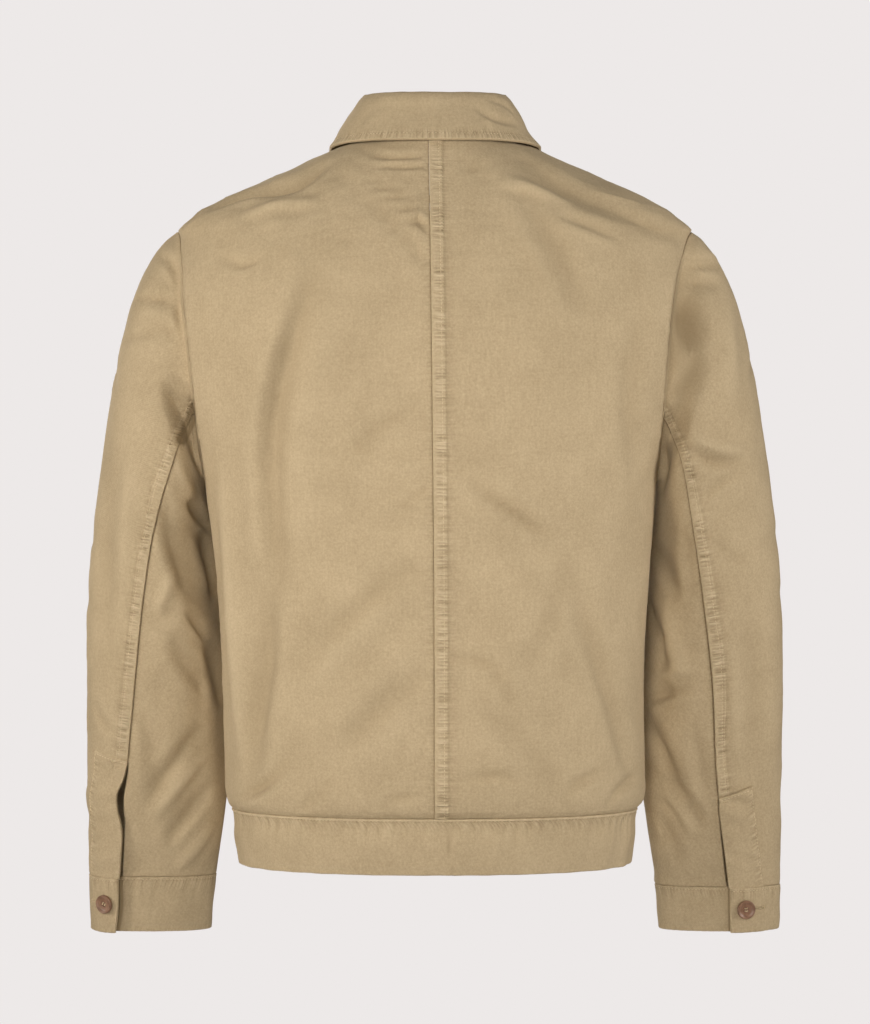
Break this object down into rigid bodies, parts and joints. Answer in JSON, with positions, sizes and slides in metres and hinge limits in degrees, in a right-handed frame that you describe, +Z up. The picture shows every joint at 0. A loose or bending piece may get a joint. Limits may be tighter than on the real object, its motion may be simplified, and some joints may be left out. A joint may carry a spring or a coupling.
{
  "type": "overshirt",
  "caption": "Boxy cotton twill overshirt with a folded shirt collar, centre-back felled seam, set-in sleeves, buttoned cuffs and a hem band, filled out as if worn.",
  "frame": {"origin": "middle of the neck opening, level with the collar's lower edge at the back, where the wearer's neck comes through", "axes": "+Z up, +Y towards the back of the garment, +X towards the wearer's left"},
  "size_m": [0.6373, 0.2957, 0.7589],
  "materials": {
    "twill": "matt brushed cotton twill",
    "button": "polished brown horn-look plastic"
  },
  "bodies": {
    "root": {"back_left": "twill", "back_right": "twill", "front_left": "twill", "front_right": "twill", "hem_band": "twill", "sleeve_left": "twill", "sleeve_right": "twill", "placket_left": "twill", "placket_right": "twill", "cuff_left": "twill", "cuff_right": "twill", "collar": "twill", "button_front_1": "button", "button_front_2": "button", "button_front_3": "button", "button_front_4": "button", "button_front_5": "button", "button_front_6": "button", "button_cuff_left": "button", "button_cuff_right": "button"}
  },
  "joints": []
}
